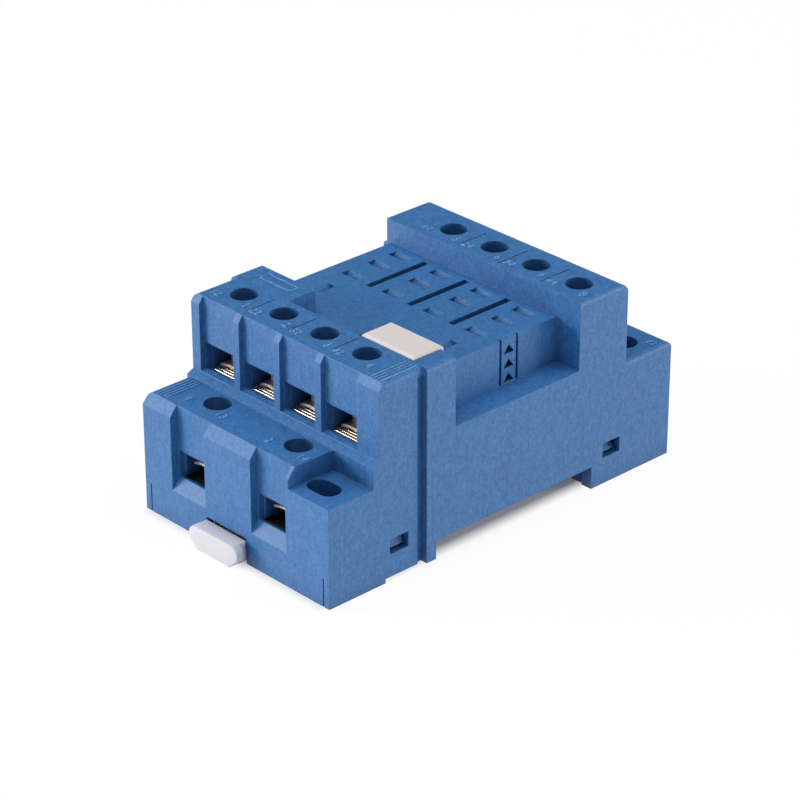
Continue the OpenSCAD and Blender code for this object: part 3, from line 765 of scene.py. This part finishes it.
@dataclass
class RailClip:
    """The sliding rail clip with a thin, softly rounded finger tab."""

    end_t_mm: float = 1.6
    neck_w_mm: float = 8.8
    slope_mm: float = 0.6
    edge_mm: float = 0.4
    steps: int = 3
    # corners closer than this are one
    merge_m: float = 1e-6
    # two faces are joined below the first angle, rounded where they meet above the second and sharp above the third
    flat_deg: float = 1.0
    round_deg: float = 30.0
    smooth_deg: float = 40.0
    # how near a corner has to be to count as at the top, on the tab's face or past the neck
    top_mm: float = 0.2
    near_mm: float = 0.02
    slack_mm: float = 0.01

    def build(self, finish: bpy.types.Material) -> None:
        """Makes the clip from a merged copy of its CAD node.

        Args:
            finish: the clip's nylon.
        """
        node = frame["nodes"]["rail_clip"]
        low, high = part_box("rail_clip")
        shape = bmesh.new()
        shape.from_mesh(node.data)
        bmesh.ops.remove_doubles(shape, verts=shape.verts, dist=self.merge_m)
        bmesh.ops.dissolve_limit(shape, angle_limit=math.radians(self.flat_deg), verts=shape.verts,
                                 edges=shape.edges)
        face_y = max(v.co.y for v in shape.verts if v.co.z > high.z - self.top_mm * MM)
        middle = (low.x + high.x) / 2
        for side in (-1, 1):
            for reach in (self.neck_w_mm / 2, self.neck_w_mm / 2 + self.slope_mm):
                parts = shape.verts[:] + shape.edges[:] + shape.faces[:]
                bmesh.ops.bisect_plane(shape, geom=parts, dist=self.merge_m, plane_no=(1.0, 0.0, 0.0),
                                       plane_co=(middle + side * reach * MM, 0.0, 0.0))
        for vert in shape.verts:
            off = abs(vert.co.x - middle) - (self.neck_w_mm / 2 + self.slope_mm - self.slack_mm) * MM
            if abs(vert.co.y - face_y) < self.near_mm * MM and off > 0:
                vert.co.y = low.y + self.end_t_mm * MM
        mesh = bpy.data.meshes.new("sharp_rail_clip")
        shape.to_mesh(mesh)
        shape.free()
        mesh.materials.append(finish)
        holder = linked("clip_holder", mesh)
        round_over = holder.modifiers.new("round", "BEVEL")
        round_over.width, round_over.segments = self.edge_mm * MM, self.steps
        round_over.limit_method, round_over.angle_limit = "ANGLE", math.radians(self.round_deg)
        round_over.use_clamp_overlap = True
        piece = finished(settled(holder, "fine_rail_clip"), "fine_rail_clip", "clip", self.smooth_deg)
        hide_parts("rail_clip")


@dataclass(frozen=True)
class LineSet:
    """Equal raised lines on one tier, in metres: the step between two, a line's plan and the first one's place."""

    name: str
    row: Row
    count: int
    step: Vec3
    plan: Vec2
    place: Vec2


@dataclass
class TierMarks:
    """Raised numbers beside the driver holes, ruled lines at the ends of two tiers, and the label zone's outline."""

    proud_mm: float = 0.13
    digit_h_mm: float = 1.5
    stroke_mm: float = 0.02
    sink_mm: float = 0.05
    line_w_mm: float = 0.2
    line_l_mm: float = 7.6
    line_gap_mm: float = 0.72
    line_count: int = 4
    line_y_mm: float = -1.2
    coil_lines_x_mm: float = -9.6
    front_lines_x_mm: float = 6.4
    zone_mm: Vec2 = (7.4, 2.0)
    zone_at_mm: Vec2 = (0.6, 7.1)
    low_tier_mm: float = 21.6
    high_tier_mm: float = 36.3
    # a digit's height as a share of its font's size
    cap_share: float = 0.7
    curve_steps: int = 3
    smooth_deg: float = 20.0
    # where each row's two numbers stand from the middle of their screw
    offsets: Dict[Row, Tuple[Vec2, Vec2]] = field(default_factory=lambda: {
        Row.COIL: ((-4.5, -2.5), (3.7, -2.5)), Row.FRONT: ((-3.6, -3.1), (3.5, -2.6)),
        Row.REAR_UPPER: ((-3.5, -3.0), (3.5, -2.8)), Row.REAR_LOWER: ((-3.5, 3.1), (3.5, 3.1))})
    numbers: Dict[Row, Tuple[Tuple[str, str], ...]] = field(default_factory=lambda: {
        Row.COIL: (("1", "13"), ("2", "14")),
        Row.FRONT: (("12", "1"), ("22", "2"), ("32", "3"), ("42", "4")),
        Row.REAR_UPPER: (("14", "5"), ("24", "6"), ("34", "7"), ("44", "8")),
        Row.REAR_LOWER: (("11", "9"), ("21", "10"), ("31", "11"), ("41", "12"))})

    def tier_top(self, row: Row) -> float:
        """Gives the height of the tier that holds a row of terminals."""
        return (self.low_tier_mm if row in (Row.COIL, Row.REAR_LOWER) else self.high_tier_mm) * MM

    def digits(self, text: str, foot: Vec3) -> bpy.types.Mesh:
        """Makes one raised number.

        Args:
            text: the plain number.
            foot: the middle of the number's foot, in metres.

        Returns:
            The number's mesh, in its place.
        """
        curve = bpy.data.curves.new("number", "FONT")
        curve.body, curve.align_x, curve.align_y = text, "CENTER", "CENTER"
        curve.size, curve.resolution_u = self.digit_h_mm * MM / self.cap_share, self.curve_steps
        curve.extrude = (self.proud_mm + self.sink_mm) / 2 * MM
        curve.offset = self.stroke_mm * MM
        flat = settled(linked("number", curve), "number")
        flat.transform(Matrix.Translation(Vector(foot) + Vector((0, 0, (self.proud_mm - self.sink_mm) / 2 * MM))))
        return flat

    def number_mesh(self) -> bpy.types.Mesh:
        """Gathers every number into one mesh.

        Returns:
            The mesh, in its place.
        """
        gathered = bpy.data.meshes.new("terminal_numbers")
        whole = bmesh.new()
        for row, pairs in self.numbers.items():
            for index, pair in enumerate(pairs, start=1):
                x, y = centre(f"clamp_screw_{row.value}_{index}")
                for text, (dx, dy) in zip(pair, self.offsets[row]):
                    number = self.digits(text, (x + dx * MM, y + dy * MM, self.tier_top(row)))
                    whole.from_mesh(number)
                    bpy.data.meshes.remove(number)
        whole.to_mesh(gathered)
        whole.free()
        return gathered

    def line_tree(self) -> NodePart:
        """Builds the tree that lays a row of equal raised lines side by side.

        Returns:
            The tree with an input for each size.
        """
        part = NodePart("raised_line_tree", [("Size", "NodeSocketVector"), *ROW_INPUTS])
        bar = add_node(part.tree, "GeometryNodeMeshCube", {"Size": part.given.outputs["Size"]})
        part.end_in_row(bar.outputs["Mesh"])
        return part

    def line_sets(self) -> Tuple[LineSet, ...]:
        """Lists the ruled lines at the ends of two tiers, and the label zone's two pairs of sides.

        Returns:
            The sets, each placed from the screw beside it.
        """
        width, length, gap = self.line_w_mm * MM, self.line_l_mm * MM, self.line_gap_mm * MM
        coil_x, coil_y = centre("clamp_screw_coil_1")
        last_x, last_y = centre("clamp_screw_front_4")
        zone_x, zone_y = (at + shift * MM for at, shift in zip(centre("clamp_screw_front_1"), self.zone_at_mm))
        long, short = (side * MM for side in self.zone_mm)
        return (
            LineSet("coil_end_lines", Row.COIL, self.line_count, (gap, 0.0, 0.0), (width, length),
                    (coil_x + self.coil_lines_x_mm * MM, coil_y + self.line_y_mm * MM)),
            LineSet("front_end_lines", Row.FRONT, self.line_count, (gap, 0.0, 0.0), (width, length),
                    (last_x + self.front_lines_x_mm * MM, last_y + self.line_y_mm * MM)),
            LineSet("label_zone_sides", Row.FRONT, 2, (0.0, short, 0.0), (long, width), (zone_x, zone_y - short / 2)),
            LineSet("label_zone_ends", Row.FRONT, 2, (long, 0.0, 0.0), (width, short), (zone_x - long / 2, zone_y)),
        )

    def build(self, finish: bpy.types.Material) -> None:
        """Makes the numbers and the lines.

        Args:
            finish: the marks' nylon, painted paler as a highlight.
        """
        numbers = self.number_mesh()
        numbers.materials.append(finish)
        finished(numbers, "terminal_numbers", "socket", self.smooth_deg)
        part = self.line_tree()
        height = (self.proud_mm + self.sink_mm) * MM
        for lines in self.line_sets():
            middle_z = self.tier_top(lines.row) + (self.proud_mm - self.sink_mm) / 2 * MM
            mesh = part.mesh(lines.name, {
                "Count": lines.count, "Gap": lines.step, "Size": (*lines.plan, height),
                "Place": (*lines.place, middle_z), "Finish": finish})
            finished(mesh, lines.name, "socket", self.smooth_deg)


@dataclass(frozen=True)
class Lamp:
    """One white soft box: where it hangs, its side in metres and its power."""

    name: str
    place: Vec3
    size: float
    watts: float


@dataclass
class Studio:
    """Camera, lamps, world and the pale floor."""

    # the camera's turn round the socket, its height and its tilt, in degrees
    azimuth: float = 46.881
    elevation: float = 27.369
    roll: float = -0.084
    focal_mm: float = 145.5165
    sensor_mm: float = 36.0
    near_m: float = 0.05
    far_m: float = 10.0
    # the target lies this far from the frame's origin towards the coil end
    frame_shift_y: float = 0.0375
    # the target seen from the camera: right, down and away
    target_offset: Vec3 = (-0.026881, 0.025776, 0.52916)
    floor_drop_mm: float = 0.02
    floor_glow: float = 0.9
    shadow_glow: float = 0.1
    shadow_from_mm: float = 1.0
    shadow_to_mm: float = 4.0
    floor_strength: float = 1.02
    floor_grey: float = 0.92
    floor_half_m: float = 3.0
    cove_strength: float = 1.0
    ceiling_strength: float = 0.1
    # a ray's height, from -1 straight down to 1 straight up, where the cove starts to dim and where it has dimmed
    cove_top: float = 0.04
    ceiling_from: float = 0.22
    aim: Vec3 = (0.0, 0.0, 0.015)
    soft_boxes: Tuple[Lamp, ...] = (
        Lamp("front_left", (-0.78, -0.7, 0.2), 0.5, 8.6),
        Lamp("far_right", (0.7, 0.75, 0.14), 0.5, 4.9),
        Lamp("overhead", (0.05, -0.1, 1.0), 1.2, 9.4),
    )

    def camera(self) -> None:
        """Places the camera at the viewing angle, with a long lens and no depth of field."""
        a, e, r = (math.radians(v) for v in (self.azimuth, self.elevation, self.roll))
        back = Vector((math.sin(a) * math.cos(e), -math.cos(a) * math.cos(e), math.sin(e)))
        right = Vector((math.cos(a), math.sin(a), 0.0))
        up = back.cross(right)
        turned_right = right * math.cos(r) + up * math.sin(r)
        turned_up = up * math.cos(r) - right * math.sin(r)
        tx, ty, tz = self.target_offset
        target = Vector((0.0, -self.frame_shift_y, 0.0))
        place = target - turned_right * tx + turned_up * ty + back * tz
        data = bpy.data.cameras.new("studio_camera")
        data.sensor_width = self.sensor_mm
        data.lens = self.focal_mm
        data.clip_start, data.clip_end = self.near_m, self.far_m
        camera = linked("studio_camera", data)
        turn = Matrix((turned_right, turned_up, back)).transposed()
        camera.matrix_world = Matrix.Translation(place) @ turn.to_4x4()
        bpy.context.scene.camera = camera

    def hang(self, lamp: Lamp) -> None:
        """Hangs one soft square lamp.

        Args:
            lamp: what and where it is.
        """
        data = bpy.data.lights.new(lamp.name, "AREA")
        data.shape, data.size, data.energy = "SQUARE", lamp.size, lamp.watts
        made = linked(lamp.name, data)
        made.location = lamp.place
        made.rotation_mode = "QUATERNION"
        made.rotation_quaternion = (Vector(self.aim) - Vector(lamp.place)).to_track_quat("-Z", "Y")

    def world(self) -> None:
        """Lights the room: a white cove up to a little above eye level, under a dim ceiling.

        Camera, glossy and transmitted rays all see the same room, so metal mirrors the background it stands in.
        """
        world = bpy.data.worlds.new("studio_world")
        world.use_nodes = True
        tree = world.node_tree
        tree.nodes.clear()
        ray = tree.nodes.new("ShaderNodeTexCoord")
        height = add_node(tree, "ShaderNodeSeparateXYZ", {"Vector": ray.outputs["Generated"]})
        dim = add_node(tree, "ShaderNodeMapRange", {"Value": height.outputs["Z"]},
                       {"From Min": self.cove_top, "From Max": self.ceiling_from,
                        "To Min": self.cove_strength, "To Max": self.ceiling_strength})
        sky = add_node(tree, "ShaderNodeBackground", {"Strength": dim.outputs["Result"]}, {"Color": (1, 1, 1, 1)})
        output = tree.nodes.new("ShaderNodeOutputWorld")
        tree.links.new(sky.outputs["Background"], output.inputs["Surface"])
        bpy.context.scene.world = world

    def open_floor(self, tree: bpy.types.NodeTree) -> Socket:
        """Gives how much the floor may glow: nearly all in the open, almost nothing under the socket.

        Args:
            tree: the floor's material tree.

        Returns:
            The share, from 0 to 1.
        """
        low, high = CAD_BOX
        half = Vector((high.x - low.x, high.y - low.y, 0.0)) / 2
        coords = tree.nodes.new("ShaderNodeTexCoord")
        moved = add_node(tree, "ShaderNodeVectorMath", {0: coords.outputs["Object"]},
                         {1: ((low.x + high.x) / 2, (low.y + high.y) / 2, 0.0)}, operation="SUBTRACT")
        away = add_node(tree, "ShaderNodeVectorMath", {0: moved.outputs["Vector"]}, operation="ABSOLUTE")
        inside = add_node(tree, "ShaderNodeVectorMath", {1: away.outputs["Vector"]}, {0: half}, operation="SUBTRACT")
        split = add_node(tree, "ShaderNodeSeparateXYZ", {"Vector": inside.outputs["Vector"]})
        depth = add_node(tree, "ShaderNodeMath", {0: split.outputs["X"], 1: split.outputs["Y"]}, operation="MINIMUM")
        # painted shade: the floor's glow fades away under the socket's footprint, leaving only the lit floor there
        share = add_node(tree, "ShaderNodeMapRange", {"Value": depth.outputs["Value"]},
                         {"From Min": self.shadow_from_mm * MM, "From Max": self.shadow_to_mm * MM,
                          "To Min": self.floor_glow, "To Max": self.shadow_glow})
        return share.outputs["Result"]

    def floor(self) -> None:
        """Lays the pale floor: white to the camera, with only a breath of the object's shadow."""
        material = bpy.data.materials.new("studio_floor")
        material.use_nodes = True
        tree = material.node_tree
        tree.nodes.clear()
        path = tree.nodes.new("ShaderNodeLightPath")
        seen = path.outputs["Is Camera Ray"]
        for kind in ("Is Glossy Ray", "Is Transmission Ray"):
            seen = add_node(tree, "ShaderNodeMath", {0: seen, 1: path.outputs[kind]}, operation="MAXIMUM").outputs[0]
        share = add_node(tree, "ShaderNodeMath", {0: seen, 1: self.open_floor(tree)}, operation="MULTIPLY")
        matt = add_node(tree, "ShaderNodeBsdfDiffuse", None, {"Color": (self.floor_grey,) * 3 + (1.0,)})
        glow = add_node(tree, "ShaderNodeEmission", None, {"Color": (1, 1, 1, 1), "Strength": self.floor_strength})
        mix = add_node(tree, "ShaderNodeMixShader",
                       {0: share.outputs["Value"], 1: matt.outputs["BSDF"], 2: glow.outputs["Emission"]})
        output = tree.nodes.new("ShaderNodeOutputMaterial")
        tree.links.new(mix.outputs["Shader"], output.inputs["Surface"])
        mesh = bpy.data.meshes.new("studio_floor")
        side, low = self.floor_half_m, CAD_BOX[0].z - self.floor_drop_mm * MM
        mesh.from_pydata([(-side, -side, low), (side, -side, low), (side, side, low), (-side, side, low)],
                         [], [(0, 1, 2, 3)])
        mesh.materials.append(material)
        linked("studio_floor", mesh)

    def build(self) -> None:
        """Builds the whole studio."""
        bpy.context.scene.view_settings.view_transform = "Standard"
        self.camera()
        for lamp in self.soft_boxes:
            self.hang(lamp)
        self.world()
        self.floor()


def main() -> None:
    """Builds every sub-assembly in order and reports each piece."""
    logging.basicConfig(level=logging.INFO, format="%(name)s: %(message)s")
    dresser = Dresser()
    dresser.dress_nodes()
    ClampScrews().build(dresser.materials[Slot.SCREW])
    ClampRidges().build(dresser)
    RailClip().build(dresser.materials[Slot.CLIP])
    TierMarks().build(PAINTED_HIGHLIGHT_MARK_NYLON.build())
    Studio().build()


if __name__ == "__main__":
    main()
